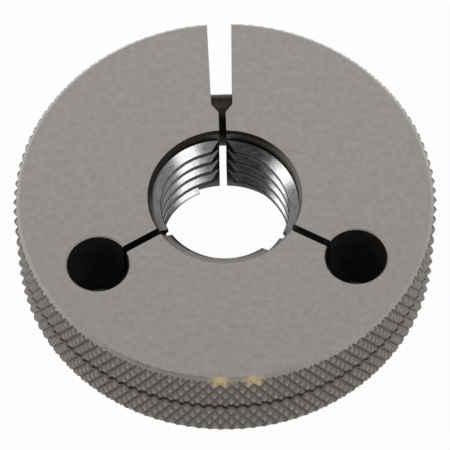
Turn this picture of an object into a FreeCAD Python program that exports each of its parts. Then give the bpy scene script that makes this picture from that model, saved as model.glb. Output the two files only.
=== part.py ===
"""Adjustable thread ring gauge, M20 x 2.5, not-go pattern.

A knurled steel ring with a threaded bore is sawn through on one side and part of the way on
two others, so that it can spring open or closed by a few hundredths. A sleeve keeps the two
sides of the through slot in line. A hollow adjusting screw sets how far the ring stands open,
and a locking screw runs through the sleeve into the adjusting screw to hold the setting.

Millimetres. The origin is the centre of the lower face, on the axis of the thread; +Z is along
the thread, and the through slot is at +Y.
"""
import FreeCAD
import Part
import math
import os
import re

import Sketcher
from FreeCAD import Placement, Rotation, Vector

SIZES = {
    # The ring
    "ring_diameter": 57.15,
    "ring_thickness": 14.29,
    "rim_chamfer_width": 0.9,
    "rim_chamfer_height": 0.8,
    # The diamond knurl on the rim and the turned line that marks a not-go ring
    "knurl_teeth": 120,
    "knurl_angle": 27.5,
    "knurl_depth": 0.45,
    "mark_width": 0.7,
    "mark_depth": 0.65,
    # The thread in the bore, and the bevel at each mouth of it
    "thread_diameter": 20,
    "thread_pitch": 2.5,
    "root_relief": 0.08,
    "ridge_embedding": 0.3,
    "thread_start_angle": 112,
    "thread_setback": 1.48,
    "entry_margin": 0.45,
    # The through slot: wide outside the neck, a saw cut through it, and a flare at the thread
    "slot_mouth_width": 3.4,
    "slot_inner_width": 2.9,
    "slot_bevel_height": 1.25,
    "neck_inset": 3.2,
    "saw_width": 1.0,
    "flare_width": 3.2,
    # The two part slots and the holes that they end in, with their centres this far in
    "relief_hole_diameter": 8.33,
    "relief_hole_inset": 8.695,
    "relief_hole_chamfer": 0.15,
    # The stepped hole of the locking device: how far in from the rim its axis lies, and its
    # steps, measured along that axis from the middle of the slot
    "lock_axis_inset": 11.975,
    "shoulder_reach": 6.35,
    "tapped_reach": 6.5,
    "passage_length": 6.15,
    # The sleeve and the two screws in it
    "sleeve_diameter": 7.14,
    "sleeve_clearance": 0.03,
    "sleeve_stand": 0.5,
    "end_float": 0.05,
    "adjusting_screw_diameter": 7.86,
    "adjusting_screw_length": 9.5,
    "thread_fit": 0.04,
    "shank_diameter": 4.17,
    "shank_clearance": 0.32,
    "shank_inset": 3,
    "head_diameter": 7.3,
    "head_height": 4.2,
    "head_clearance": 0.32,
    "driver_slot_width": 1.2,
    "driver_slot_depth": 1.7,
    "screw_chamfer": 0.35,
    # How far a cutter runs on past the face that it leaves
    "overrun": 1,
}
SIDE_SLOT_ANGLES = (210, 330)
# The screws' driver slots stand as they were left, turned this far from upright
ADJUSTER_TURN = 62
LOCK_TURN = 24

doc = FreeCAD.newDocument("thread_ring_gauge")
sheet = doc.addObject("Spreadsheet::Sheet", "Sizes")
for row, (alias, value) in enumerate(SIZES.items(), start=1):
    sheet.set(f"A{row}", alias.replace("_", " "))
    sheet.set(f"B{row}", str(value))
    sheet.setAlias(f"B{row}", alias)
doc.recompute()


def size(expression):
    """Value in millimetres of an expression on the sheet's aliases."""
    return float(sheet.evalExpression(expression))


def bound(expression):
    """The same expression as other objects write it."""
    return re.sub("[a-z_]+", lambda word: f"Sizes.{word[0]}" if word[0] in SIZES else word[0],
                  expression)


def bind(item, **expressions):
    """Tie properties of an object to the sheet; a double underscore stands for a dot."""
    for name, expression in expressions.items():
        item.setExpression(name.replace("__", "."), bound(expression))


def new_body(name):
    """An empty body with its label."""
    body = doc.addObject("PartDesign::Body", name)
    body.Label = name
    return body


def plane_of(body, role):
    """The body's own origin plane of that role."""
    return next(item for item in body.Origin.OriginFeatures if item.Role == role)


def outline(body, role, corners):
    """A closed outline on one of the body's planes, each corner a pair of expressions."""
    sketch = body.newObject("Sketcher::SketchObject", f"{body.Name}_outline")
    sketch.AttachmentSupport = [(plane_of(body, role), "")]
    sketch.MapMode = "FlatFace"
    points = [Vector(size(across), size(along), 0) for across, along in corners]
    for start, end in zip(points, points[1:] + points[:1]):
        sketch.addGeometry(Part.LineSegment(start, end), False)
    for index, (across, along) in enumerate(corners):
        following = (index + 1) % len(corners)
        sketch.addConstraint(Sketcher.Constraint("Coincident", index, 2, following, 1))
        for kind, expression in (("DistanceX", across), ("DistanceY", along)):
            reach = size(expression)
            number = sketch.addConstraint(Sketcher.Constraint(kind, -1, 1, index, 1, reach))
            sketch.setExpression(f"Constraints[{number}]", bound(expression))
    doc.recompute()
    return sketch


def revolve(body, corners):
    """A piece turned about its own X axis, from its half section above that axis."""
    sketch = outline(body, "XY_Plane", corners)
    turned = body.newObject("PartDesign::Revolution", f"{body.Name}_turned")
    turned.Profile = sketch
    turned.ReferenceAxis = (sketch, ["H_Axis"])
    turned.Angle = 360
    doc.recompute()
    return turned


def cylinder(name, radius, height, **placement):
    """An upright cylinder primitive bound to the sheet."""
    item = doc.addObject("Part::Cylinder", name)
    bind(item, Radius=radius, Height=height, **placement)
    return item


def through_cylinder(name, radius, **centre):
    """A cylinder that runs past both faces of the ring."""
    return cylinder(name, radius, "ring_thickness + 2 * overrun", Placement__Base__z="-overrun",
                    **centre)


def cone(name, lower, upper, height, **placement):
    """An upright cone primitive bound to the sheet."""
    item = doc.addObject("Part::Cone", name)
    bind(item, Radius1=lower, Radius2=upper, Height=height, **placement)
    return item


LOCK_AXIS = "(ring_diameter / 2 - lock_axis_inset)"


def lying_cylinder(name, radius, start, end):
    """A cylinder on the locking device's axis, from one reach to another along X."""
    item = doc.addObject("Part::Cylinder", name)
    item.Placement = Placement(Vector(), Rotation(Vector(0, 1, 0), 90))
    bind(item, Radius=radius, Height=f"({end}) - ({start})", Placement__Base__x=start,
         Placement__Base__y=LOCK_AXIS, Placement__Base__z="ring_thickness / 2")
    return item


def upright_cut(name, corners):
    """A cutter of that plan that runs past both faces of the ring."""
    body = new_body(name)
    pad = body.newObject("PartDesign::Pad", f"{name}_pad")
    pad.Profile = outline(body, "XY_Plane", corners)
    bind(pad, Length="ring_thickness + 2 * overrun")
    bind(body, Placement__Base__z="-overrun")
    return body


def seat_on_lock_axis(body, turn=0):
    """Put a piece that was made round the X axis in its place, turned about that axis."""
    body.Placement = Placement(Vector(), Rotation(Vector(1, 0, 0), turn))
    bind(body, Placement__Base__y=LOCK_AXIS, Placement__Base__z="ring_thickness / 2")


def driver_slot(body, outer_end, inner_end, screw_radius):
    """A slot for a screwdriver, straight across a screw's outer end."""
    half = "driver_slot_width / 2"
    cut = body.newObject("PartDesign::Pocket", f"{body.Name}_slot")
    cut.Profile = outline(body, "XY_Plane", [
        (inner_end, f"-{half}"),
        (outer_end, f"-{half}"),
        (outer_end, half),
        (inner_end, half),
    ])
    cut.Midplane = True
    bind(cut, Length=f"2 * ({screw_radius} + overrun)")
    return cut


# The thread's space: the bore to the root, less one ridge of 60 degree section that climbs
# anticlockwise, as a right-hand thread does. Both ends of the ridge are cut square, so that no
# feather edge is left.
MINOR_RADIUS = "((thread_diameter - 1.0825 * thread_pitch) / 2)"
ROOT_RADIUS = "(thread_diameter / 2 + root_relief)"
RIDGE_FOOT = "(thread_pitch * 7 / 16 + root_relief * tan(30))"
FOOT_HALF = f"({RIDGE_FOOT} + ridge_embedding * tan(30))"
CREST_HALF = f"({RIDGE_FOOT} - ({ROOT_RADIUS} - {MINOR_RADIUS} + ridge_embedding) * tan(30))"
ridge = new_body("thread_ridge")
ridge_section = outline(ridge, "XZ_Plane", [
    (f"{ROOT_RADIUS} + ridge_embedding", FOOT_HALF),
    (f"{MINOR_RADIUS} - ridge_embedding", CREST_HALF),
    (f"{MINOR_RADIUS} - ridge_embedding", f"-{CREST_HALF}"),
    (f"{ROOT_RADIUS} + ridge_embedding", f"-{FOOT_HALF}"),
])
winding = ridge.newObject("PartDesign::AdditiveHelix", "thread_winding")
winding.Profile = ridge_section
winding.ReferenceAxis = (ridge_section, ["V_Axis"])
winding.Mode = "pitch-height-angle"
bind(winding, Pitch="thread_pitch", Height="ring_thickness - 2 * thread_setback")
bind(ridge, Placement__Base__z="thread_setback")
ridge.Placement = Placement(ridge.Placement.Base, Rotation(Vector(0, 0, 1), 0))
ridge.setExpression("Placement.Rotation.Angle", "Sizes.thread_start_angle")
doc.recompute()

thread_space = doc.addObject("Part::Cut", "thread_space")
thread_space.Base = through_cylinder("root_bore", ROOT_RADIUS)
thread_space.Tool = ridge

# The crests are bored true, then both mouths are bevelled at 45 degrees.
ENTRY_RADIUS = "(thread_diameter / 2 + entry_margin)"
BEVEL_HEIGHT = f"({ENTRY_RADIUS} - {MINOR_RADIUS})"
cutters = [
    thread_space,
    through_cylinder("crest_bore", MINOR_RADIUS),
    cone("lower_bevel", f"{ENTRY_RADIUS} + overrun", MINOR_RADIUS, f"{BEVEL_HEIGHT} + overrun",
         Placement__Base__z="-overrun"),
    cone("upper_bevel", MINOR_RADIUS, f"{ENTRY_RADIUS} + overrun", f"{BEVEL_HEIGHT} + overrun",
         Placement__Base__z=f"ring_thickness - {BEVEL_HEIGHT}"),
]

# The through slot: wide outside the sleeve, a saw cut through the bore's wall, and a flare that
# clears the thread's ends on both sides of the cut.
NECK_RADIUS = f"({LOCK_AXIS} - neck_inset)"
FLARE_END = f"({MINOR_RADIUS} - overrun)"
FLARE_SLOPE = f"(flare_width - saw_width) / 2 / ({ROOT_RADIUS} - {MINOR_RADIUS})"
right_side = [
    ("slot_mouth_width / 2", "ring_diameter / 2 + overrun"),
    ("slot_mouth_width / 2", "ring_diameter / 2"),
    ("slot_inner_width / 2", f"{NECK_RADIUS} + slot_bevel_height"),
    ("saw_width / 2", NECK_RADIUS),
    ("saw_width / 2", ROOT_RADIUS),
    (f"saw_width / 2 + ({ROOT_RADIUS} - {FLARE_END}) * {FLARE_SLOPE}", FLARE_END),
]
left_side = [(f"-({across})", along) for across, along in reversed(right_side)]
cutters.append(upright_cut("through_slot", right_side + left_side))

# Two part slots, each from the bore to a relief hole with broken edges.
HOLE_RADIUS = "(relief_hole_diameter / 2)"
HOLE_REACH = "(ring_diameter / 2 - relief_hole_inset)"
for angle in SIDE_SLOT_ANGLES:
    saw_cut = upright_cut(f"part_slot_{angle}", [
        (FLARE_END, "saw_width / 2"),
        (FLARE_END, "-saw_width / 2"),
        (HOLE_REACH, "-saw_width / 2"),
        (HOLE_REACH, "saw_width / 2"),
    ])
    saw_cut.Placement.Rotation = Rotation(Vector(0, 0, 1), angle)
    centre = {"Placement__Base__x": f"{HOLE_REACH} * cos({angle})",
              "Placement__Base__y": f"{HOLE_REACH} * sin({angle})"}
    cutters += [
        saw_cut,
        through_cylinder(f"relief_hole_{angle}", HOLE_RADIUS, **centre),
        cone(f"lower_break_{angle}", f"{HOLE_RADIUS} + relief_hole_chamfer + overrun", HOLE_RADIUS,
             "relief_hole_chamfer + overrun", Placement__Base__z="-overrun", **centre),
        cone(f"upper_break_{angle}", HOLE_RADIUS, f"{HOLE_RADIUS} + relief_hole_chamfer + overrun",
             "relief_hole_chamfer + overrun",
             Placement__Base__z="ring_thickness - relief_hole_chamfer", **centre),
    ]

# One stepped hole along the locking device's axis: from the left a tapped hole, the sleeve's
# reamed seat across the slot, a clearance hole, and the locking screw's recess on the right.
PAST_RIM = "(ring_diameter / 2 + overrun)"
HEAD_SEAT = "(shoulder_reach + passage_length)"
SLEEVE_BORE = "(shank_diameter / 2 + shank_clearance)"
cutters += [
    lying_cylinder("tapped_hole", "adjusting_screw_diameter / 2 + thread_fit",
                   f"-{PAST_RIM}", "-tapped_reach"),
    lying_cylinder("sleeve_seat", "sleeve_diameter / 2 + sleeve_clearance",
                   "-(tapped_reach + overrun)", "shoulder_reach"),
    lying_cylinder("screw_passage", SLEEVE_BORE,
                   "shoulder_reach - overrun", f"{HEAD_SEAT} + overrun"),
    lying_cylinder("head_recess", "head_diameter / 2 + head_clearance", HEAD_SEAT, PAST_RIM),
]


def rim_levels():
    """The rim from the bottom up: heights, each with the radii of its odd and even points.

    A chamfer, crossing rows of four-sided points, the mark turned round the middle, and the
    same again. In a row, crests stand between the crossings of the grooves, and at the next
    row they change places. The chamfers and the mark cut the points off half way down.
    """
    crest = size("ring_diameter / 2")
    valley = crest - size("knurl_depth")
    face_edge = crest - size("rim_chamfer_width")
    half_way = (crest + valley) / 2
    mark = crest - size("mark_depth")
    middle = size("ring_thickness / 2")
    chamfer = size("rim_chamfer_height * (1 - knurl_depth / 2 / rim_chamfer_width)")
    tooth = 2 * math.pi * crest / size("knurl_teeth")
    rows = round(middle / (tooth / 2 / math.tan(math.radians(size("knurl_angle")))))
    upper = [(0, mark, mark), (size("mark_width / 2"), half_way, half_way)]
    for row in range(1, rows):
        crossing = (crest, valley) if row % 2 else (valley, crest)
        upper.append((middle * row / rows, *crossing))
    upper += [(middle - chamfer, half_way, half_way), (middle, face_edge, face_edge)]
    lower = [(-height, odd, even) for height, odd, even in reversed(upper[1:])]
    return [(middle + height, (odd, even)) for height, odd, even in lower + upper]


def knurled_blank():
    """A solid disc with the diamond knurl on its rim."""
    around = 2 * int(size("knurl_teeth"))
    levels = rim_levels()
    points = [Vector(radii[number % 2] * math.cos(2 * math.pi * number / around),
                     radii[number % 2] * math.sin(2 * math.pi * number / around), height)
              for height, radii in levels for number in range(around)]
    facets = []
    for level in range(len(levels) - 1):
        below, above = levels[level][1], levels[level + 1][1]
        for number in range(around):
            beside = (number + 1) % around
            corners = [level * around + number, level * around + beside]
            corners += [corner + around for corner in reversed(corners)]
            # A groove crosses each patch from corner to corner, where the radii are smaller.
            rising = below[number % 2] + above[beside % 2]
            falling = below[beside % 2] + above[number % 2]
            turn = 0 if rising <= falling else 1
            first, second, third, fourth = corners[turn:] + corners[:turn]
            facets += [(first, second, third), (first, third, fourth)]
    rim = Part.Shape()
    rim.makeShapeFromMesh((points, facets), 0.0001)
    faces = list(rim.Faces)
    for height, outwards in ((0, -1), (size("ring_thickness"), 1)):
        edge_loop = [edge for edge in rim.Edges
                     if all(abs(vertex.Z - height) < 0.001 for vertex in edge.Vertexes)]
        flat_face = Part.Face(Part.Wire(Part.sortEdges(edge_loop)[0]))
        if flat_face.normalAt(0, 0).z * outwards < 0:
            flat_face.reverse()
        faces.append(flat_face)
    return Part.Solid(Part.Shell(faces))


blank = doc.addObject("Part::Feature", "knurled_blank")
blank.Shape = knurled_blank()
waste = doc.addObject("Part::MultiFuse", "waste")
waste.Shapes = cutters
ring_body = doc.addObject("Part::Cut", "ring_body")
ring_body.Base = blank
ring_body.Tool = waste

# The sleeve: a plain ground tube that spans the slot and stands a little out of its seat on the
# left, where the adjusting screw bears on it.
SLEEVE_LEFT = "-(tapped_reach + sleeve_stand)"
SLEEVE_RIGHT = "shoulder_reach - end_float"
adjusting_sleeve = new_body("adjusting_sleeve")
revolve(adjusting_sleeve, [
    (SLEEVE_LEFT, SLEEVE_BORE),
    (SLEEVE_RIGHT, SLEEVE_BORE),
    (SLEEVE_RIGHT, "sleeve_diameter / 2"),
    (SLEEVE_LEFT, "sleeve_diameter / 2"),
])
seat_on_lock_axis(adjusting_sleeve)

# The adjusting screw: hollow and headless, tapped for the locking screw.
SCREW_INNER = f"({SLEEVE_LEFT} - end_float)"
SCREW_OUTER = f"({SCREW_INNER} - adjusting_screw_length)"
SCREW_RADIUS = "(adjusting_screw_diameter / 2)"
SCREW_HOLE = "(shank_diameter / 2 + thread_fit)"
adjusting_screw = new_body("adjusting_screw")
turned_adjuster = revolve(adjusting_screw, [
    (SCREW_OUTER, SCREW_HOLE),
    (SCREW_INNER, SCREW_HOLE),
    (SCREW_INNER, f"{SCREW_RADIUS} - screw_chamfer"),
    (f"{SCREW_INNER} - screw_chamfer", SCREW_RADIUS),
    (f"{SCREW_OUTER} + screw_chamfer", SCREW_RADIUS),
    (SCREW_OUTER, f"{SCREW_RADIUS} - screw_chamfer"),
])
adjuster_slot = driver_slot(adjusting_screw, f"{SCREW_OUTER} - overrun",
                            f"{SCREW_OUTER} + driver_slot_depth", SCREW_RADIUS)
seat_on_lock_axis(adjusting_screw, ADJUSTER_TURN)

# The locking screw: a cheese head in the right-hand recess, and a shank that passes through the
# sleeve into the adjusting screw.
SHANK_END = f"({SCREW_OUTER} + shank_inset)"
HEAD_UNDER = f"({HEAD_SEAT} + end_float)"
HEAD_TOP = f"({HEAD_UNDER} + head_height)"
locking_screw = new_body("locking_screw")
turned_lock = revolve(locking_screw, [
    (SHANK_END, "0"),
    (HEAD_TOP, "0"),
    (HEAD_TOP, "head_diameter / 2 - screw_chamfer"),
    (f"{HEAD_TOP} - screw_chamfer", "head_diameter / 2"),
    (HEAD_UNDER, "head_diameter / 2"),
    (HEAD_UNDER, "shank_diameter / 2"),
    (f"{SHANK_END} + screw_chamfer", "shank_diameter / 2"),
    (SHANK_END, "shank_diameter / 2 - screw_chamfer"),
])
lock_slot = driver_slot(locking_screw, f"{HEAD_TOP} + overrun", f"{HEAD_TOP} - driver_slot_depth",
                        "head_diameter / 2")
seat_on_lock_axis(locking_screw, LOCK_TURN)
doc.recompute()

for item in doc.Objects:
    if "Invalid" in item.State or "Error" in item.State:
        raise RuntimeError(f"{item.Name} is {item.State}")
for slot, turned in ((adjuster_slot, turned_adjuster), (lock_slot, turned_lock)):
    if slot.Shape.Volume >= turned.Shape.Volume:
        raise RuntimeError(f"{slot.Name} cuts nothing")
nodes = [ring_body, adjusting_sleeve, adjusting_screw, locking_screw]
for node in nodes:
    if node.Shape.isNull() or not node.Shape.isValid() or len(node.Shape.Solids) != 1:
        raise RuntimeError(f"{node.Label} isn't one valid solid")

os.makedirs("parts", exist_ok=True)
for node in nodes:
    node.Shape.exportStep(f"parts/{node.Label}.step")
    print(node.Label, round(node.Shape.Volume, 2), len(node.Shape.Faces))
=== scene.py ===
"""The dressed thread ring gauge, an adjustable not-go ring for an M20 x 2.5 thread.

It stands on the frame that the construction gives. The ring is modelled again with its full
knurl and a smooth thread, and the sleeve and the two screws get their turned detail. Lengths
are metres, angles radians, and the through slot is at +Y.
"""

import math

import bmesh
import bpy
from mathutils import Matrix, Vector


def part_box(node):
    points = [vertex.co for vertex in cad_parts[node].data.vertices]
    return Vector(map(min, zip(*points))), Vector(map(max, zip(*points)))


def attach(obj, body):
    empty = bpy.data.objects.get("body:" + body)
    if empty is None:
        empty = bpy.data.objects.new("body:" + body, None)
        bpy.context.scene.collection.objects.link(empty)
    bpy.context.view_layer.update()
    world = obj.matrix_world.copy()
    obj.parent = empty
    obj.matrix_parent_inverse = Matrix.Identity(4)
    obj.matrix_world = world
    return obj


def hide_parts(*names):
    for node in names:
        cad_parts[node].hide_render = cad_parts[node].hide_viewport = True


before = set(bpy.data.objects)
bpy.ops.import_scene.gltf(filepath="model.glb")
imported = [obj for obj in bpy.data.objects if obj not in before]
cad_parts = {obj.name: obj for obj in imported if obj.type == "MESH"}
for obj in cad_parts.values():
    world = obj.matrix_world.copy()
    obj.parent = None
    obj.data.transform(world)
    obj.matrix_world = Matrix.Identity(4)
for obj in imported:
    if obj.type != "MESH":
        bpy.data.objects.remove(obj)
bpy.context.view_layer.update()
MM = 0.001

# Ring blank. A disc of hardened tool steel, turned and then rolled between two knurling wheels,
# whose grooves cross and leave rows of four-sided points. The edges are chamfered afterwards,
# and a fine groove is turned round the middle, the mark of a not-go ring.
ring_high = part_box("ring_body")[1]
RING_RADIUS = ring_high.x
THICKNESS = ring_high.z
MIDDLE = THICKNESS / 2
KNURL_TEETH = 120
KNURL_ROWS = 10
KNURL_DEPTH = 0.52 * MM
KNURL_CREST_WEAR = 0.12
KNURL_STEPS = 4
CHAMFER_WIDTH = 0.9 * MM
CHAMFER_HEIGHT = 0.8 * MM
MARK_WIDTH = 0.8 * MM
MARK_DEPTH = 0.65 * MM


def zigzag(number):
    """Straight lines between 0 at even numbers and 1 at odd ones."""
    return 1 - abs(number % 2 - 1)


def rim_radius(angle, height):
    """How far out the rim reaches: the knurl, unless a chamfer or the mark cuts deeper."""
    across = angle * KNURL_TEETH / math.pi + 1
    along = (height - MIDDLE) / THICKNESS * KNURL_ROWS
    point = abs(1 - zigzag(across) - zigzag(along))
    knurl = RING_RADIUS - KNURL_DEPTH * (1 - min(point / (1 - KNURL_CREST_WEAR), 1))
    from_edge = min(height, THICKNESS - height)
    chamfer = RING_RADIUS - CHAMFER_WIDTH * (1 - from_edge / CHAMFER_HEIGHT)
    mark = RING_RADIUS - MARK_DEPTH * min(2 - abs(height - MIDDLE) * 4 / MARK_WIDTH, 1)
    return min(knurl, chamfer, mark)


row_steps = KNURL_ROWS * KNURL_STEPS
row_levels = [THICKNESS * step / row_steps for step in range(row_steps + 1)]
edge_levels = [0.14 * MM, 0.28 * MM, 0.45 * MM, 0.54 * MM, 0.63 * MM]
mark_levels = [0.12 * MM, 0.24 * MM]
levels = sorted(row_levels + edge_levels + [THICKNESS - level for level in edge_levels]
                + [MIDDLE - level for level in mark_levels]
                + [MIDDLE + level for level in mark_levels])

blank = bmesh.new()
bmesh.ops.create_circle(blank, segments=2 * KNURL_TEETH * KNURL_STEPS, radius=RING_RADIUS)
bottom_loop = list(blank.edges)
rim_loop = bottom_loop
for lower, upper in zip(levels, levels[1:]):
    grown = bmesh.ops.extrude_edge_only(blank, edges=rim_loop)["geom"]
    raised = [item for item in grown if isinstance(item, bmesh.types.BMVert)]
    bmesh.ops.translate(blank, verts=raised, vec=(0, 0, upper - lower))
    raised = set(raised)
    rim_loop = [item for item in grown if isinstance(item, bmesh.types.BMEdge)
                and raised.issuperset(item.verts)]
for vertex in blank.verts:
    reach = rim_radius(math.atan2(vertex.co.y, vertex.co.x), vertex.co.z)
    vertex.co.xy *= reach / vertex.co.xy.length
# Each four-sided face is split between its two lower corners, so that grooves stay straight.
for face in list(blank.faces):
    corners = list(face.verts)
    first_pair = corners[0].co.xy.length + corners[2].co.xy.length
    second_pair = corners[1].co.xy.length + corners[3].co.xy.length
    start = 0 if first_pair < second_pair else 1
    bmesh.utils.face_split(face, corners[start], corners[start + 2])
bmesh.ops.contextual_create(blank, geom=bottom_loop)
bmesh.ops.contextual_create(blank, geom=rim_loop)
bmesh.ops.recalc_face_normals(blank, faces=blank.faces)


def finished(mesh_in_hand, name):
    """An object at the origin that holds the mesh, with its doubles merged first."""
    bmesh.ops.remove_doubles(mesh_in_hand, verts=mesh_in_hand.verts, dist=0.0001 * MM)
    bmesh.ops.recalc_face_normals(mesh_in_hand, faces=mesh_in_hand.faces)
    mesh = bpy.data.meshes.new(name)
    mesh_in_hand.to_mesh(mesh)
    mesh_in_hand.free()
    piece = bpy.data.objects.new(name, mesh)
    bpy.context.scene.collection.objects.link(piece)
    return piece


def joined(base, tool, operation):
    """The base with the tool cut from it or fused to it; the tool is used up."""
    step = base.modifiers.new(operation.title(), "BOOLEAN")
    step.object = tool
    step.operation = operation
    step.solver = "MANIFOLD"
    shape = base.evaluated_get(bpy.context.evaluated_depsgraph_get())
    mesh = bpy.data.meshes.new_from_object(shape)
    base.modifiers.clear()
    base.data = mesh
    bpy.data.objects.remove(tool)
    return base


# Threaded bore. The bore is turned to the thread's root, and the right-hand thread stands in it
# as one ridge of 60 degrees with both ends cut blunt. The crests are bored true and both mouths
# bevelled, then the flanks are lapped to size.
THREAD_RADIUS = 10 * MM
THREAD_PITCH = 2.5 * MM
ROOT_RADIUS = THREAD_RADIUS + 0.08 * MM
CREST_RADIUS = THREAD_RADIUS - 1.0825 * THREAD_PITCH / 2
ENTRY_RADIUS = 10.45 * MM
THREAD_SETBACK = 1.48 * MM
THREAD_START = math.radians(112)
BORE_STEPS = 192
RIDGE_SPARE = 0.3 * MM
OVERRUN = 1 * MM
FLANK = math.tan(math.radians(30))


def turned_solid(section, steps=BORE_STEPS):
    """A solid turned round Z from a half section of (radius, height) that ends on the axis."""
    solid = bmesh.new()
    corners = [solid.verts.new((radius, 0, height)) for radius, height in section]
    sides = [solid.edges.new(pair) for pair in zip(corners, corners[1:])]
    bmesh.ops.spin(solid, geom=corners + sides, cent=(0, 0, 0), axis=(0, 0, 1),
                   angle=2 * math.pi, steps=steps, use_merge=True)
    return solid


def turned_rod(radius, low, high, steps=BORE_STEPS):
    """A plain round bar on the Z axis."""
    return turned_solid([(0, low), (radius, low), (radius, high), (0, high)], steps)


root_foot = THREAD_PITCH * 7 / 16 + (ROOT_RADIUS - THREAD_RADIUS) * FLANK
ridge_outer = ROOT_RADIUS + RIDGE_SPARE
ridge_inner = CREST_RADIUS - RIDGE_SPARE
foot_half = root_foot + (ridge_outer - ROOT_RADIUS) * FLANK
crest_half = root_foot - (ROOT_RADIUS - ridge_inner) * FLANK
thread_rise = THICKNESS - 2 * THREAD_SETBACK
thread_turns = thread_rise / THREAD_PITCH
thread_steps = round(thread_turns * 144)

ridge_mesh = bmesh.new()
ridge_corners = [(ridge_outer, foot_half), (ridge_inner, crest_half),
                 (ridge_inner, -crest_half), (ridge_outer, -foot_half)]
ridge_end = ridge_mesh.faces.new([ridge_mesh.verts.new((radius, 0, THREAD_SETBACK + height))
                                  for radius, height in ridge_corners])
bmesh.ops.rotate(ridge_mesh, verts=ridge_mesh.verts, cent=(0, 0, 0),
                 matrix=Matrix.Rotation(THREAD_START, 3, "Z"))
bmesh.ops.spin(ridge_mesh, geom=list(ridge_mesh.verts) + list(ridge_mesh.edges) + [ridge_end],
               cent=(0, 0, 0), axis=(0, 0, 1), dvec=(0, 0, thread_rise / thread_steps),
               angle=2 * math.pi * thread_turns, steps=thread_steps)
ridge = finished(ridge_mesh, "thread_ridge")

bore_mouth = ENTRY_RADIUS + OVERRUN
bevel_foot = ENTRY_RADIUS - CREST_RADIUS
waste = finished(turned_rod(ROOT_RADIUS, -OVERRUN, THICKNESS + OVERRUN), "waste")
joined(waste, ridge, "DIFFERENCE")
crest_bore = turned_solid([(0, -OVERRUN), (bore_mouth, -OVERRUN), (CREST_RADIUS, bevel_foot),
                           (CREST_RADIUS, THICKNESS - bevel_foot),
                           (bore_mouth, THICKNESS + OVERRUN), (0, THICKNESS + OVERRUN)])
joined(waste, finished(crest_bore, "crest_bore"), "UNION")

# Slots. The ring is sawn through at +Y, wide outside the locking device and narrow through the
# bore's wall, with a flare ground beside the thread. Two part slots end in drilled holes, so
# that the ring can spring.
sleeve_low, sleeve_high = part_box("adjusting_sleeve")
LOCK_AXIS = (sleeve_low + sleeve_high) / 2
SLEEVE_RADIUS = (sleeve_high.y - sleeve_low.y) / 2
NECK_INSET = 3.2 * MM
NECK_RADIUS = LOCK_AXIS.y - NECK_INSET
SLOT_MOUTH = 3.4 * MM
SLOT_INNER = 2.9 * MM
SLOT_BEVEL = 1.25 * MM
SAW_WIDTH = 1.0 * MM
FLARE_WIDTH = 3.2 * MM
RELIEF_HOLE_RADIUS = 4.165 * MM
RELIEF_HOLE_REACH = 19.88 * MM
RELIEF_HOLE_BREAK = 0.15 * MM
PART_SLOT_ANGLES = (math.radians(210), math.radians(330))


def upright_cut(outline):
    """A cutter of that plan that runs past both faces of the ring."""
    cutter = bmesh.new()
    plan = cutter.faces.new([cutter.verts.new((across, along, -OVERRUN))
                             for across, along in outline])
    raised = bmesh.ops.extrude_face_region(cutter, geom=[plan])["geom"]
    bmesh.ops.translate(cutter, vec=(0, 0, THICKNESS + 2 * OVERRUN),
                        verts=[item for item in raised if isinstance(item, bmesh.types.BMVert)])
    return cutter


flare_end = CREST_RADIUS - OVERRUN
flare_slope = (FLARE_WIDTH - SAW_WIDTH) / 2 / (ROOT_RADIUS - CREST_RADIUS)
right_side = [(SLOT_MOUTH / 2, RING_RADIUS + OVERRUN), (SLOT_MOUTH / 2, RING_RADIUS),
              (SLOT_INNER / 2, NECK_RADIUS + SLOT_BEVEL), (SAW_WIDTH / 2, NECK_RADIUS),
              (SAW_WIDTH / 2, ROOT_RADIUS),
              (SAW_WIDTH / 2 + (ROOT_RADIUS - flare_end) * flare_slope, flare_end)]
left_side = [(-across, along) for across, along in reversed(right_side)]
joined(waste, finished(upright_cut(right_side + left_side), "through_slot"), "UNION")

hole_mouth = RELIEF_HOLE_RADIUS + RELIEF_HOLE_BREAK + OVERRUN
for angle in PART_SLOT_ANGLES:
    saw_cut = upright_cut([(flare_end, SAW_WIDTH / 2), (flare_end, -SAW_WIDTH / 2),
                           (RELIEF_HOLE_REACH, -SAW_WIDTH / 2),
                           (RELIEF_HOLE_REACH, SAW_WIDTH / 2)])
    hole = turned_solid([(0, -OVERRUN), (hole_mouth, -OVERRUN),
                         (RELIEF_HOLE_RADIUS, RELIEF_HOLE_BREAK),
                         (RELIEF_HOLE_RADIUS, THICKNESS - RELIEF_HOLE_BREAK),
                         (hole_mouth, THICKNESS + OVERRUN), (0, THICKNESS + OVERRUN)], 96)
    bmesh.ops.translate(hole, verts=hole.verts, vec=(RELIEF_HOLE_REACH, 0, 0))
    for cutter in (saw_cut, hole):
        bmesh.ops.rotate(cutter, verts=cutter.verts, cent=(0, 0, 0),
                         matrix=Matrix.Rotation(angle, 3, "Z"))
        joined(waste, finished(cutter, "part_slot"), "UNION")

# Stepped cross hole. From the left it is tapped for the adjusting screw, reamed for the sleeve
# on both sides of the slot, drilled for the locking screw's shank and bored for its head.
adjuster_low, adjuster_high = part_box("adjusting_screw")
lock_low, lock_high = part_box("locking_screw")
THREAD_FIT = 0.04 * MM
SLEEVE_FIT = 0.03 * MM
HEAD_CLEARANCE = 0.32 * MM
SLEEVE_STAND = 0.5 * MM
END_FLOAT = 0.05 * MM
ADJUSTER_RADIUS = 3.93 * MM
HEAD_RADIUS = 3.65 * MM
HEAD_HEIGHT = 4.2 * MM
SHANK_RADIUS = 2.085 * MM
SLEEVE_BORE = SHANK_RADIUS + 0.32 * MM
tapped_end = sleeve_low.x + SLEEVE_STAND
shoulder = sleeve_high.x + END_FLOAT
head_seat = lock_high.x - HEAD_HEIGHT - END_FLOAT
past_rim = RING_RADIUS + OVERRUN


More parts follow.
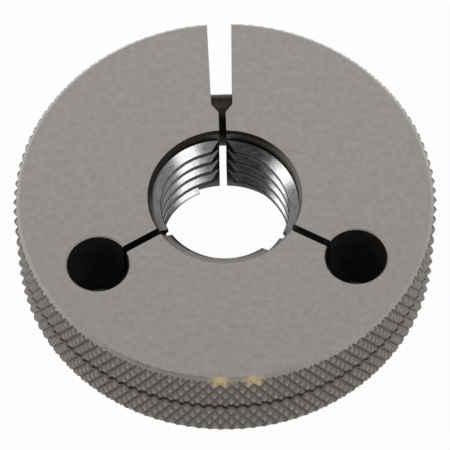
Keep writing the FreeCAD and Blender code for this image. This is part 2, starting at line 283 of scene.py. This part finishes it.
def on_lock_axis(solid, turn=0):
    """Lay a solid that was turned round Z along the locking device's axis, its Z towards +X."""
    bmesh.ops.rotate(solid, verts=solid.verts, cent=(0, 0, 0),
                     matrix=Matrix.Rotation(turn, 3, "X") @ Matrix.Rotation(math.pi / 2, 3, "Y"))
    bmesh.ops.translate(solid, verts=solid.verts, vec=(0, LOCK_AXIS.y, LOCK_AXIS.z))
    return solid


cross_hole = turned_solid([
    (0, -past_rim), (ADJUSTER_RADIUS + THREAD_FIT, -past_rim),
    (ADJUSTER_RADIUS + THREAD_FIT, tapped_end), (SLEEVE_RADIUS + SLEEVE_FIT, tapped_end),
    (SLEEVE_RADIUS + SLEEVE_FIT, shoulder), (SLEEVE_BORE, shoulder), (SLEEVE_BORE, head_seat),
    (HEAD_RADIUS + HEAD_CLEARANCE, head_seat), (HEAD_RADIUS + HEAD_CLEARANCE, past_rim),
    (0, past_rim)], 96)
joined(waste, finished(on_lock_axis(cross_hole), "cross_hole"), "UNION")
ring = finished(blank, "ring")
joined(ring, waste, "DIFFERENCE")
ring.name = "ring"


# Surfaces of the ring. The faces are ground, the rim is as the knurling wheels left it, the
# thread is lapped bright, and the bevels, slots and holes keep the dark skin of hardening.
def linear(colour):
    """The linear colour of an sRGB hex value such as #908c86."""
    parts = [int(colour[start:start + 2], 16) / 255 for start in (1, 3, 5)]
    return [part / 12.92 if part <= 0.04045 else ((part + 0.055) / 1.055) ** 2.4
            for part in parts] + [1]


def add(tree, kind, inputs, output=None, **settings):
    """Add a node and give one of its outputs; an input is a number, a colour or a socket."""
    node = tree.nodes.new("ShaderNode" + kind)
    for name, value in settings.items():
        setattr(node, name, value)
    for name, value in inputs.items():
        live = [socket for socket in node.inputs if socket.enabled and socket.name == name]
        socket = live[0] if live else node.inputs[name]
        if isinstance(value, bpy.types.NodeSocket):
            tree.links.new(value, socket)
        else:
            socket.default_value = linear(value) if isinstance(value, str) else value
    if output:
        return node.outputs[output]
    return next((socket for socket in node.outputs if socket.enabled), None)


def material(name, finish):
    """A Principled material, its sockets filled by a function of the material's node tree."""
    made = bpy.data.materials.new(name)
    made.use_nodes = True
    tree = made.node_tree
    tree.nodes.clear()
    shader = add(tree, "BsdfPrincipled", finish(tree))
    add(tree, "OutputMaterial", {"Surface": shader})
    return made


# Ground tool steel, the two faces: the wheel leaves short fine lines along X and a satin grey,
# which handling has mottled. Real lines are some 0.03 mm apart and are drawn at 0.2 mm, so that
# they show. The broken edges of the holes are painted near white, as a painted highlight.
GRIND_LINE = 0.2 * MM
GRIND_MOTTLE = 0.9 * MM


def ground_finish(tree):
    place = add(tree, "TexCoord", {}, "Object")
    drawn_out = add(tree, "Mapping", {"Vector": place, "Scale": (0.1, 1, 1)})
    lines = add(tree, "TexNoise", {"Vector": drawn_out, "Scale": 1 / GRIND_LINE, "Detail": 2.0})
    lines = add(tree, "MapRange", {"Value": lines, "From Min": 0.3, "From Max": 0.7})
    mottle = add(tree, "TexNoise", {"Vector": place, "Scale": 1 / GRIND_MOTTLE, "Detail": 4.0})
    mottle = add(tree, "MapRange", {"Value": mottle, "From Min": 0.3, "From Max": 0.7})
    tone = add(tree, "Mix", {"Factor": 0.45, "A": lines, "B": mottle})
    face = add(tree, "Mix", {"Factor": tone, "A": "#93908d", "B": "#aca8a5"}, data_type="RGBA")
    height = add(tree, "SeparateXYZ", {"Vector": place}, "Z")
    sunk = add(tree, "Math", {0: height, 1: MIDDLE}, operation="SUBTRACT")
    sunk = add(tree, "Math", {0: sunk}, operation="ABSOLUTE")
    # Painted highlight: the holes' broken edges, just below the face, are painted near white.
    edge_highlight = add(tree, "MapRange", {"Value": sunk, "From Min": MIDDLE - 0.01 * MM,
                                    "From Max": MIDDLE - 0.03 * MM})
    colour = add(tree, "Mix", {"Factor": edge_highlight, "A": face, "B": "#e6dfd8"}, data_type="RGBA")
    dull = add(tree, "MapRange", {"Value": lines, "To Min": 0.36, "To Max": 0.48})
    relief = add(tree, "Bump", {"Height": lines, "Distance": 0.003 * MM})
    return {"Base Color": colour, "Roughness": dull, "Metallic": 1.0, "Normal": relief}


# Knurled tool steel, the rim: the points painted light at their tips, a painted highlight, and the
# grooves between them painted dark, a painted shade, with patches of oil and dirt; the mark's
# groove is painted dark as shade too, and a clean turned chamfer runs along each edge. The upper
# edge has a dry straw stain at -Y, in two patches, painted pale as a bright glint.
TIP_HEIGHT = 0.7
GRIME_PATCH = 0.9 * MM
GRIME_SWING = 0.16
RIM_PIT = 0.12 * MM
STAIN_GLINT_CENTRE = 0.8 * MM
STAIN_GLINT_APART = 2.2 * MM
STAIN_GLINT_REACH = 1.7 * MM
STAIN_GLINT_DEPTH = 1.7 * MM
STAIN_GLINT_RAG = 4 * MM


def knurl_finish(tree):
    place = add(tree, "TexCoord", {}, "Object")
    flat = add(tree, "VectorMath", {0: place, 1: (1, 1, 0)}, operation="MULTIPLY")
    reach = add(tree, "VectorMath", {0: flat}, operation="LENGTH")
    # Painted light: dark in the grooves and light at the tips, by depth, with random dirt mixed in.
    depth = add(tree, "MapRange", {"Value": reach, "From Min": RING_RADIUS - KNURL_DEPTH,
                                   "From Max": RING_RADIUS})
    grime = add(tree, "TexNoise", {"Vector": place, "Scale": 1 / GRIME_PATCH, "Detail": 3.0})
    grime = add(tree, "MapRange", {"Value": grime, "From Min": 0.3, "From Max": 0.7,
                                   "To Min": -GRIME_SWING, "To Max": GRIME_SWING})
    painted_light_and_grime = add(tree, "Math", {0: depth, 1: grime}, operation="ADD")
    groove_shade_fac = add(tree, "MapRange", {"Value": painted_light_and_grime, "From Min": 0.1, "From Max": TIP_HEIGHT})
    tip_highlight_fac = add(tree, "MapRange", {"Value": painted_light_and_grime, "From Min": TIP_HEIGHT, "From Max": 1.05})
    groove_shade = add(tree, "Mix", {"Factor": groove_shade_fac, "A": "#6b665f", "B": "#827c77"},
                 data_type="RGBA")
    points = add(tree, "Mix", {"Factor": tip_highlight_fac, "A": groove_shade, "B": "#a6a099"}, data_type="RGBA")
    height = add(tree, "SeparateXYZ", {"Vector": place}, "Z")
    # Painted shade: the mark's groove is painted dark.
    mark_shade = add(tree, "Math", {0: height, 1: MIDDLE, 2: MARK_WIDTH / 2}, operation="COMPARE")
    cut_in = add(tree, "MapRange", {"Value": reach, "From Min": RING_RADIUS - 0.05 * MM,
                                    "From Max": RING_RADIUS - 0.2 * MM})
    mark_shade = add(tree, "Math", {0: mark_shade, 1: cut_in}, operation="MULTIPLY")
    points = add(tree, "Mix", {"Factor": mark_shade, "A": points, "B": "#5c5651"}, data_type="RGBA")
    below = add(tree, "Math", {0: THICKNESS, 1: height}, operation="SUBTRACT")
    from_edge = add(tree, "Math", {0: height, 1: below}, operation="MINIMUM")
    cone = add(tree, "Math", {0: from_edge, 1: CHAMFER_WIDTH / CHAMFER_HEIGHT,
                              2: RING_RADIUS - CHAMFER_WIDTH}, operation="MULTIPLY_ADD")
    sunk = add(tree, "Math", {0: cone, 1: reach}, operation="SUBTRACT")
    turned = add(tree, "MapRange", {"Value": sunk, "From Min": 0.08 * MM, "From Max": 0.01 * MM})
    clean = add(tree, "Mix", {"Factor": turned, "A": points, "B": "#cdc9c3"}, data_type="RGBA")
    across = add(tree, "SeparateXYZ", {"Vector": place}, "X")
    # A straw stain painted pale, as a bright glint, near the upper edge towards -Y.
    across = add(tree, "Math", {0: across, 1: STAIN_GLINT_CENTRE}, operation="SUBTRACT")
    across = add(tree, "Math", {0: across}, operation="ABSOLUTE")
    across = add(tree, "Math", {0: across, 1: STAIN_GLINT_APART}, operation="SUBTRACT")
    across = add(tree, "Math", {0: across}, operation="ABSOLUTE")
    across = add(tree, "Math", {0: grime, 1: STAIN_GLINT_RAG, 2: across}, operation="MULTIPLY_ADD")
    stain_glint = add(tree, "MapRange", {"Value": across, "From Min": STAIN_GLINT_REACH, "From Max": 0.0})
    upper = add(tree, "MapRange", {"Value": below, "From Min": STAIN_GLINT_DEPTH,
                                   "From Max": STAIN_GLINT_DEPTH / 2})
    stain_glint = add(tree, "Math", {0: stain_glint, 1: upper}, operation="MULTIPLY")
    along = add(tree, "SeparateXYZ", {"Vector": place}, "Y")
    along = add(tree, "Math", {0: along, 1: 0.0}, operation="LESS_THAN")
    stain_glint = add(tree, "Math", {0: stain_glint, 1: along}, operation="MULTIPLY")
    colour = add(tree, "Mix", {"Factor": stain_glint, "A": clean, "B": "#fbe4ac"}, data_type="RGBA")
    metal = add(tree, "Math", {0: 1.0, 1: stain_glint}, operation="SUBTRACT")
    dull = add(tree, "MapRange", {"Value": grime, "From Min": -GRIME_SWING, "From Max": GRIME_SWING,
                                  "To Min": 0.42, "To Max": 0.56})
    pits = add(tree, "TexNoise", {"Vector": place, "Scale": 1 / RIM_PIT, "Detail": 2.0})
    relief = add(tree, "Bump", {"Height": pits, "Distance": 0.006 * MM})
    return {"Base Color": colour, "Roughness": dull, "Metallic": metal, "Normal": relief}


# Lapped tool steel, the thread: polished along its turns almost to a mirror, with fine
# scratches. The laps reach neither its roots nor its bored crests, and both are painted dark as
# painted shade. The hardening skin stays near the two mouths, dark and half bright; towards -Y it
# reaches further in, is rougher and is painted paler, a painted reflection of the far wall.
SKIN_REACH = 9.68 * MM
SKIN_DEPTH = 1.3 * MM
SKIN_RAG = 0.08 * MM
LAP_CLOUD = 1.2 * MM
LAP_SCRATCH = 0.12 * MM


def lapped_finish(tree):
    place = add(tree, "TexCoord", {}, "Object")
    flat = add(tree, "VectorMath", {0: place, 1: (1, 1, 0)}, operation="MULTIPLY")
    reach = add(tree, "VectorMath", {0: flat}, operation="LENGTH")
    height = add(tree, "SeparateXYZ", {"Vector": place}, "Z")
    below = add(tree, "Math", {0: THICKNESS, 1: height}, operation="SUBTRACT")
    from_edge = add(tree, "Math", {0: height, 1: below}, operation="MINIMUM")
    cloud = add(tree, "TexNoise", {"Vector": place, "Scale": 1 / LAP_CLOUD, "Detail": 3.0})
    ragged = add(tree, "MapRange", {"Value": cloud, "From Min": 0.3, "From Max": 0.7,
                                    "To Min": -SKIN_RAG, "To Max": SKIN_RAG})
    inner = add(tree, "Math", {0: reach, 1: ragged}, operation="ADD")
    inner = add(tree, "MapRange", {"Value": inner, "From Min": SKIN_REACH + SKIN_RAG,
                                   "From Max": SKIN_REACH - SKIN_RAG})
    deep = add(tree, "MapRange", {"Value": from_edge, "From Min": SKIN_DEPTH,
                                  "From Max": SKIN_DEPTH + 0.3 * MM})
    # Towards -Y the skin covers more of the thread and is rougher, part of the painted reflection
    # below.
    rubbed = add(tree, "SeparateXYZ", {"Vector": place}, "Y")
    rubbed = add(tree, "MapRange", {"Value": rubbed, "From Min": -2 * MM, "From Max": -6 * MM})
    inner = add(tree, "Math", {0: inner, 1: rubbed}, operation="SUBTRACT")
    clean = add(tree, "Math", {0: inner, 1: deep}, operation="MAXIMUM")
    # Painted shade: the crests and roots are painted dark.
    off_crest = add(tree, "MapRange", {"Value": reach, "From Min": CREST_RADIUS + 0.04 * MM,
                                       "From Max": CREST_RADIUS + 0.12 * MM})
    off_root = add(tree, "MapRange", {"Value": reach, "From Min": ROOT_RADIUS - 0.03 * MM,
                                      "From Max": ROOT_RADIUS - 0.1 * MM})
    off_crest_and_root = add(tree, "Math", {0: off_crest, 1: off_root}, operation="MULTIPLY")
    drawn_out = add(tree, "Mapping", {"Vector": place, "Scale": (0.1, 0.1, 1)})
    scratch = add(tree, "TexNoise", {"Vector": drawn_out, "Scale": 1 / LAP_SCRATCH,
                                     "Detail": 3.0})
    tone = add(tree, "Mix", {"Factor": 0.5, "A": cloud, "B": scratch})
    tone = add(tree, "MapRange", {"Value": tone, "From Min": 0.35, "From Max": 0.65})
    bright = add(tree, "Mix", {"Factor": tone, "A": "#9a9898", "B": "#c0bfbe"}, data_type="RGBA")
    flank = add(tree, "Mix", {"Factor": off_crest_and_root, "A": "#211d1a", "B": bright}, data_type="RGBA")
    skin_and_reflection = add(tree, "Mix", {"Factor": cloud, "A": "#342f2b", "B": "#4f4943"}, data_type="RGBA")
    # Painted reflection: the skin is painted pale towards -Y and +X.
    near_side_reflection = add(tree, "VectorMath", {0: place, 1: (0.45, -1, 0)}, "Value",
               operation="DOT_PRODUCT")
    near_side_reflection = add(tree, "MapRange", {"Value": near_side_reflection, "From Min": -6 * MM, "From Max": 6 * MM})
    skin_and_reflection = add(tree, "Mix", {"Factor": near_side_reflection, "A": skin_and_reflection, "B": "#cbc5be"}, data_type="RGBA")
    colour = add(tree, "Mix", {"Factor": clean, "A": skin_and_reflection, "B": flank}, data_type="RGBA")
    polish = add(tree, "MapRange", {"Value": scratch, "From Min": 0.3, "From Max": 0.7,
                                    "To Min": 0.18, "To Max": 0.28})
    half_bright = add(tree, "Mix", {"Factor": rubbed, "A": 0.36, "B": 0.6})
    dull = add(tree, "Mix", {"Factor": clean, "A": half_bright, "B": polish})
    relief = add(tree, "Bump", {"Height": scratch, "Distance": 0.002 * MM})
    return {"Base Color": colour, "Roughness": dull, "Metallic": 1.0, "Normal": relief}


# Hardened tool steel with its skin left on, in slots and holes: a dull brown-black oxide that
# is uneven and a little rough.
SKIN_PATCH = 1.5 * MM
SKIN_GRIT = 0.2 * MM


def skin_finish(tree):
    place = add(tree, "TexCoord", {}, "Object")
    patches = add(tree, "TexNoise", {"Vector": place, "Scale": 1 / SKIN_PATCH, "Detail": 4.0})
    patches = add(tree, "MapRange", {"Value": patches, "From Min": 0.35, "From Max": 0.65})
    colour = add(tree, "Mix", {"Factor": patches, "A": "#342f2c", "B": "#4c4641"},
                 data_type="RGBA")
    grit = add(tree, "TexNoise", {"Vector": place, "Scale": 1 / SKIN_GRIT, "Detail": 4.0})
    dull = add(tree, "MapRange", {"Value": grit, "From Min": 0.3, "From Max": 0.7,
                                  "To Min": 0.42, "To Max": 0.6})
    relief = add(tree, "Bump", {"Height": grit, "Distance": 0.01 * MM})
    return {"Base Color": colour, "Roughness": dull, "Metallic": 0.35, "Normal": relief}


# Painted shade over that skin, on the flares and the ends of the turns beside the thread: a matt
# near-black colour that reflects hardly anything.
SHADE_BLACK_PATCH = 0.5 * MM


def shade_black_finish(tree):
    place = add(tree, "TexCoord", {}, "Object")
    shade_black = add(tree, "TexNoise", {"Vector": place, "Scale": 1 / SHADE_BLACK_PATCH, "Detail": 4.0})
    shade_black = add(tree, "MapRange", {"Value": shade_black, "From Min": 0.35, "From Max": 0.65})
    colour = add(tree, "Mix", {"Factor": shade_black, "A": "#100d0b", "B": "#231e1b"},
                 data_type="RGBA")
    dull = add(tree, "MapRange", {"Value": shade_black, "To Min": 0.6, "To Max": 0.85})
    relief = add(tree, "Bump", {"Height": shade_black, "Distance": 0.01 * MM})
    return {"Base Color": colour, "Roughness": dull, "Specular IOR Level": 0.1, "Normal": relief}


EDGE_FLAT = 0.01 * MM
FACES, RIM, THREAD, SKIN, SHADE_BLACK = range(5)
RING_FINISHES = [material("ground_tool_steel", ground_finish),
                 material("knurled_tool_steel", knurl_finish),
                 material("lapped_tool_steel", lapped_finish),
                 material("hardening_skin", skin_finish),
                 material("steel_painted_shade_black", shade_black_finish)]


def ring_zone(face):
    """Which of the ring's finishes a face takes, by its place and the way it looks."""
    out = Vector((face.center.x, face.center.y, 0))
    reach = out.length
    out.normalize()
    from_edge = min(face.center.z, THICKNESS - face.center.z)
    if abs(face.normal.z) > 0.99 and from_edge < EDGE_FLAT:
        return FACES
    if face.normal.dot(out) > 0.3 and reach > RING_RADIUS - CHAMFER_WIDTH - EDGE_FLAT:
        return RIM
    sideways = abs(face.normal.cross(out).z)
    if reach < ENTRY_RADIUS + EDGE_FLAT:
        # Sideways faces in the bore take the near-black painted shade.
        return THREAD if sideways < 0.6 else SHADE_BLACK
    if from_edge < RELIEF_HOLE_BREAK and abs(face.normal.z) > 0.5:
        return FACES
    return SKIN


def shade_by_edges(mesh, sharp=math.radians(28)):
    """Smooth shading that stops at every edge sharper than that."""
    shape = bmesh.new()
    shape.from_mesh(mesh)
    for face in shape.faces:
        face.smooth = True
    for edge in shape.edges:
        edge.smooth = len(edge.link_faces) == 2 and edge.calc_face_angle() < sharp
    shape.to_mesh(mesh)
    shape.free()


shade_by_edges(ring.data)
ring.data.materials.clear()
for finish in RING_FINISHES:
    ring.data.materials.append(finish)
for face in ring.data.polygons:
    face.material_index = ring_zone(face)
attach(ring, "ring")
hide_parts("ring_body")


# Adjusting sleeve. A hardened tube, ground outside, that keeps the two sides of the through slot
# in line. Its middle shows in the slot.
def turned_tube(section, steps=96):
    """A hollow piece turned round Z from its whole section, a closed row of corners."""
    tube = bmesh.new()
    corners = [tube.verts.new((radius, 0, height)) for radius, height in section]
    sides = [tube.edges.new(pair) for pair in zip(corners, corners[1:] + corners[:1])]
    bmesh.ops.spin(tube, geom=corners + sides, cent=(0, 0, 0), axis=(0, 0, 1),
                   angle=2 * math.pi, steps=steps, use_merge=True)
    return tube


SLEEVE_EDGE = 0.25 * MM
sleeve_mesh = turned_tube([
    (SLEEVE_BORE, sleeve_low.x), (SLEEVE_RADIUS - SLEEVE_EDGE, sleeve_low.x),
    (SLEEVE_RADIUS, sleeve_low.x + SLEEVE_EDGE), (SLEEVE_RADIUS, sleeve_high.x - SLEEVE_EDGE),
    (SLEEVE_RADIUS - SLEEVE_EDGE, sleeve_high.x), (SLEEVE_BORE, sleeve_high.x)])
sleeve = finished(on_lock_axis(sleeve_mesh), "sleeve")
shade_by_edges(sleeve.data)


# Ground alloy steel under a film of old oil: grey-brown, with faint rings from the grinding.
# The real rings are too fine to show, so they are drawn 0.15 mm apart.
OIL_FILM = 1.8 * MM
GRIND_RING = 0.15 * MM


def sleeve_finish(tree):
    place = add(tree, "TexCoord", {}, "Object")
    film = add(tree, "TexNoise", {"Vector": place, "Scale": 1 / OIL_FILM, "Detail": 4.0})
    film = add(tree, "MapRange", {"Value": film, "From Min": 0.35, "From Max": 0.65})
    colour = add(tree, "Mix", {"Factor": film, "A": "#33302c", "B": "#45403b"},
                 data_type="RGBA")
    drawn_round = add(tree, "Mapping", {"Vector": place, "Scale": (1, 0.05, 0.05)})
    rings = add(tree, "TexNoise", {"Vector": drawn_round, "Scale": 1 / GRIND_RING})
    dull = add(tree, "MapRange", {"Value": rings, "From Min": 0.3, "From Max": 0.7,
                                  "To Min": 0.34, "To Max": 0.5})
    relief = add(tree, "Bump", {"Height": rings, "Distance": 0.003 * MM})
    return {"Base Color": colour, "Roughness": dull, "Metallic": 1.0, "Normal": relief}


sleeve.data.materials.append(material("oiled_alloy_steel", sleeve_finish))
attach(sleeve, "sleeve")
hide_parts("adjusting_sleeve")

# Screws. Turned from alloy steel and blackened: a hollow headless adjusting screw on the left
# and a cheese-headed locking screw on the right, each with a sawn slot for a screwdriver.
SCREW_PITCH = 0.794 * MM
SCREW_THREAD = 0.45 * MM
SCREW_EDGE = 0.35 * MM
DRIVER_SLOT_WIDTH = 1.2 * MM
DRIVER_SLOT_DEPTH = 1.7 * MM
ADJUSTER_TURN = math.radians(62)
LOCK_TURN = math.radians(24)


def screw_ridge(radius, low, high):
    """A thread's ridge round a shank from low to high, its crest at that radius."""
    shape = bmesh.new()
    root = radius - SCREW_THREAD
    inner = root - SCREW_THREAD / 4
    half = SCREW_PITCH * 7 / 16
    flat = SCREW_PITCH / 16
    turns = (high - low - 2 * half) / SCREW_PITCH
    steps = round(turns * 48)
    section = [(inner, -half), (root, -half), (radius, -flat), (radius, flat), (root, half),
               (inner, half)]
    end = shape.faces.new([shape.verts.new((reach, 0, low + half + height))
                           for reach, height in section])
    bmesh.ops.spin(shape, geom=list(shape.verts) + list(shape.edges) + [end], cent=(0, 0, 0),
                   axis=(0, 0, 1), dvec=(0, 0, turns * SCREW_PITCH / steps),
                   angle=2 * math.pi * turns, steps=steps)
    return finished(shape, "screw_ridge")


def driver_slot(low, high):
    """The cutter for a screw's slot, between two heights, as broad as the ring is thick."""
    cutter = bmesh.new()
    bmesh.ops.create_cube(cutter, size=1)
    bmesh.ops.scale(cutter, vec=(DRIVER_SLOT_WIDTH, THICKNESS, high - low),
                    verts=cutter.verts)
    bmesh.ops.translate(cutter, vec=(0, 0, (high + low) / 2), verts=cutter.verts)
    return finished(cutter, "driver_slot")


def laid(piece, turn):
    """Turn a finished screw's mesh onto the locking device's axis."""
    shape = bmesh.new()
    shape.from_mesh(piece.data)
    on_lock_axis(shape, turn)
    shape.to_mesh(piece.data)
    shape.free()
    shade_by_edges(piece.data)


adjuster_hole = SHANK_RADIUS + THREAD_FIT
adjuster_root = ADJUSTER_RADIUS - SCREW_THREAD
adjuster = finished(turned_tube([
    (adjuster_hole, adjuster_low.x), (adjuster_root, adjuster_low.x),
    (adjuster_root, adjuster_high.x), (adjuster_hole, adjuster_high.x)]), "adjuster")
joined(adjuster, screw_ridge(ADJUSTER_RADIUS, adjuster_low.x + SCREW_EDGE,
                             adjuster_high.x - SCREW_EDGE), "UNION")
joined(adjuster, driver_slot(adjuster_low.x - OVERRUN, adjuster_low.x + DRIVER_SLOT_DEPTH),
       "DIFFERENCE")
laid(adjuster, ADJUSTER_TURN)

head_under = head_seat + END_FLOAT
shank_root = SHANK_RADIUS - SCREW_THREAD
locker = finished(turned_solid([
    (0, lock_low.x), (shank_root, lock_low.x), (shank_root, adjuster_high.x),
    (SHANK_RADIUS, adjuster_high.x + SCREW_EDGE), (SHANK_RADIUS, head_under),
    (HEAD_RADIUS, head_under), (HEAD_RADIUS, lock_high.x - SCREW_EDGE),
    (HEAD_RADIUS - SCREW_EDGE, lock_high.x), (0, lock_high.x)], 96), "locker")
joined(locker, screw_ridge(SHANK_RADIUS, lock_low.x + SCREW_EDGE, adjuster_high.x), "UNION")
joined(locker, driver_slot(lock_high.x - DRIVER_SLOT_DEPTH, lock_high.x + OVERRUN), "DIFFERENCE")
laid(locker, LOCK_TURN)


# Blackened alloy steel: a thin blue-black oxide, rubbed a little grey where a blade or a finger
# has been.
RUBBED_PATCH = 0.9 * MM
OXIDE_GRIT = 0.15 * MM


def blackened_finish(tree):
    place = add(tree, "TexCoord", {}, "Object")
    rubbed = add(tree, "TexNoise", {"Vector": place, "Scale": 1 / RUBBED_PATCH, "Detail": 4.0})
    rubbed = add(tree, "MapRange", {"Value": rubbed, "From Min": 0.45, "From Max": 0.75})
    colour = add(tree, "Mix", {"Factor": rubbed, "A": "#3c3c41", "B": "#706f70"},
                 data_type="RGBA")
    dull = add(tree, "MapRange", {"Value": rubbed, "To Min": 0.42, "To Max": 0.3})
    grit = add(tree, "TexNoise", {"Vector": place, "Scale": 1 / OXIDE_GRIT, "Detail": 3.0})
    relief = add(tree, "Bump", {"Height": grit, "Distance": 0.004 * MM})
    return {"Base Color": colour, "Roughness": dull, "Metallic": 1.0, "Normal": relief}


# The same steel, wet-looking and painted nearly black as shade, in the driver slots and below the
# ends.
SLOT_SHADE_PATCH = 0.7 * MM


def slot_shade_finish(tree):
    place = add(tree, "TexCoord", {}, "Object")
    shade_tone = add(tree, "TexNoise", {"Vector": place, "Scale": 1 / SLOT_SHADE_PATCH, "Detail": 3.0})
    colour = add(tree, "Mix", {"Factor": shade_tone, "A": "#131214", "B": "#2a2727"},
                 data_type="RGBA")
    wet = add(tree, "MapRange", {"Value": shade_tone, "From Min": 0.3, "From Max": 0.7,
                                 "To Min": 0.28, "To Max": 0.5})
    relief = add(tree, "Bump", {"Height": shade_tone, "Distance": 0.01 * MM})
    return {"Base Color": colour, "Roughness": wet, "Metallic": 1.0, "Normal": relief}


SCREW_FINISHES = [material("blackened_alloy_steel", blackened_finish),
                  material("alloy_steel_painted_shade", slot_shade_finish)]
for screw, outer_end, body, node in (
        (adjuster, adjuster_low.x, "adjuster", "adjusting_screw"),
        (locker, lock_high.x, "lock", "locking_screw")):
    screw.data.materials.clear()
    for finish in SCREW_FINISHES:
        screw.data.materials.append(finish)
    for face in screw.data.polygons:
        # Faces deeper than SCREW_EDGE from the outer end take the painted shade.
        face.material_index = int(abs(face.center.x - outer_end) > SCREW_EDGE)
    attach(screw, body)
    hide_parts(node)

# Floor. A plain white ground that keeps the ring's soft shadow. The camera and reflections see
# it at nearly full white, but for the bottoms of the two relief holes, where little light gets.
FLOOR_SIZE = 16.0
OPEN_FLOOR = 0.97
HOLE_BOTTOM = RELIEF_HOLE_RADIUS + 0.4 * MM
floor_mesh = bmesh.new()
bmesh.ops.create_grid(floor_mesh, x_segments=1, y_segments=1, size=FLOOR_SIZE / 2)
floor = finished(floor_mesh, "floor")
floor_paint = bpy.data.materials.new("white_floor_paint")
floor_paint.use_nodes = True
paint_tree = floor_paint.node_tree
paint_tree.nodes.clear()
floor_place = add(paint_tree, "TexCoord", {}, "Object")
either_side = add(paint_tree, "VectorMath", {0: floor_place}, operation="ABSOLUTE")
hole_centre = (RELIEF_HOLE_REACH * math.cos(PART_SLOT_ANGLES[1]),
               -RELIEF_HOLE_REACH * math.sin(PART_SLOT_ANGLES[1]), 0)
from_hole = add(paint_tree, "VectorMath", {0: either_side, 1: hole_centre}, "Value",
                operation="DISTANCE")
behind = add(paint_tree, "SeparateXYZ", {"Vector": floor_place}, "Y")
from_hole = add(paint_tree, "Math", {0: from_hole, 1: behind}, operation="MAXIMUM")
cover = add(paint_tree, "Math", {0: from_hole, 1: HOLE_BOTTOM}, operation="LESS_THAN")
seen = add(paint_tree, "Math", {0: add(paint_tree, "LightPath", {}, "Is Camera Ray"),
                                1: add(paint_tree, "LightPath", {}, "Is Glossy Ray")},
           operation="MAXIMUM")
seen = add(paint_tree, "Math", {0: seen, 1: add(paint_tree, "LightPath", {},
                                                "Is Transmission Ray")}, operation="MAXIMUM")
open_share = add(paint_tree, "Math", {0: OPEN_FLOOR, 1: cover}, operation="SUBTRACT",
                 use_clamp=True)
share = add(paint_tree, "Math", {0: seen, 1: open_share}, operation="MULTIPLY")
paint = add(paint_tree, "BsdfDiffuse", {"Color": "#f4f4f4"})
own_light = add(paint_tree, "Emission", {"Color": "#ffffff", "Strength": 1.0})
add(paint_tree, "OutputMaterial",
    {"Surface": add(paint_tree, "MixShader", {0: share, 1: paint, 2: own_light})})
floor.data.materials.append(floor_paint)

# Light. A pale grey room, darker in front where the camera stands, with a small softbox on each
# side and two broad dim ones, high behind and overhead. The side boxes draw the bright bands in
# the thread.
ROOM_BACK = 0.39
ROOM_FRONT = 0.31
DARK_AZIMUTH = math.radians(-135)
DARK_ELEVATION = math.radians(56)
room = bpy.data.worlds.new("grey_room")
bpy.context.scene.world = room
room.use_nodes = True
room_tree = room.node_tree
room_tree.nodes.clear()
away = add(room_tree, "TexCoord", {}, "Generated")
forth = add(room_tree, "SeparateXYZ", {"Vector": away}, "Y")
level = add(room_tree, "MapRange", {"Value": forth, "From Min": -0.6, "From Max": 0.4,
                                    "To Min": ROOM_FRONT, "To Max": ROOM_BACK})
dark_way = (math.cos(DARK_AZIMUTH) * math.cos(DARK_ELEVATION),
            math.sin(DARK_AZIMUTH) * math.cos(DARK_ELEVATION), math.sin(DARK_ELEVATION))
near_dark = add(room_tree, "VectorMath", {0: away, 1: dark_way}, "Value",
                operation="DOT_PRODUCT")
shade = add(room_tree, "MapRange", {"Value": near_dark, "From Min": 0.8, "From Max": 0.96,
                                    "To Min": 1.0, "To Max": 0.2},
            interpolation_type="SMOOTHSTEP")
level = add(room_tree, "Math", {0: level, 1: shade}, operation="MULTIPLY")
add(room_tree, "OutputWorld",
    {"Surface": add(room_tree, "Background", {"Color": "#ffffff", "Strength": level})})


def softbox(name, azimuth, elevation, distance, width, height, radiance):
    """A lamp of that size that faces the ring; azimuth is from +X towards +Y, in degrees."""
    turn, rise = math.radians(azimuth), math.radians(elevation)
    lamp = bpy.data.lights.new(name, "AREA")
    lamp.shape = "RECTANGLE"
    lamp.size = width
    lamp.size_y = height
    lamp.energy = radiance * math.pi * width * height
    box = bpy.data.objects.new(name, lamp)
    bpy.context.scene.collection.objects.link(box)
    place = Vector((math.cos(turn) * math.cos(rise), math.sin(turn) * math.cos(rise),
                    math.sin(rise))) * distance
    box.location = place + Vector((0, 0, MIDDLE))
    box.rotation_euler = place.to_track_quat("Z", "Y").to_euler()


softbox("right_softbox", -24, 52, 0.9, 0.33, 0.2, 3.2)
softbox("left_softbox", 181, 44, 0.9, 0.32, 0.24, 3.2)
softbox("back_softbox", 89, 48, 1.0, 0.9, 0.7, 0.75)
softbox("top_softbox", 90, 85, 1.0, 0.9, 0.4, 0.33)

# Camera. A long lens 0.48 m from the top face, 59 degrees above it, rolled by under a degree.
PICTURE_WIDTH = 450
FOCAL_PIXELS = 3575.6
SENSOR_WIDTH = 36
CAMERA_ELEVATION = math.radians(59.376)
CAMERA_AZIMUTH = math.radians(-1.086)
CAMERA_ROLL = math.radians(0.680)
CAMERA_DISTANCE = 481.6 * MM
CAMERA_RIGHT = -0.035 * MM
CAMERA_UP = -3.909 * MM
swing = Matrix.Rotation(CAMERA_AZIMUTH, 3, "Z")
forward = swing @ Vector((0, math.cos(CAMERA_ELEVATION), -math.sin(CAMERA_ELEVATION)))
right = swing @ Vector((1, 0, 0))
up = right.cross(forward)
camera_data = bpy.data.cameras.new("camera")
camera_data.sensor_width = SENSOR_WIDTH
camera_data.lens = FOCAL_PIXELS / PICTURE_WIDTH * SENSOR_WIDTH
camera = bpy.data.objects.new("camera", camera_data)
bpy.context.scene.collection.objects.link(camera)
upright = Matrix((right, up, -forward)).transposed()
camera.matrix_world = (upright @ Matrix.Rotation(-CAMERA_ROLL, 3, "Z")).to_4x4()
camera.location = (Vector((0, 0, THICKNESS)) - forward * CAMERA_DISTANCE
                   + right * CAMERA_RIGHT + up * CAMERA_UP)
bpy.context.scene.camera = camera
bpy.context.scene.view_settings.view_transform = "Standard"
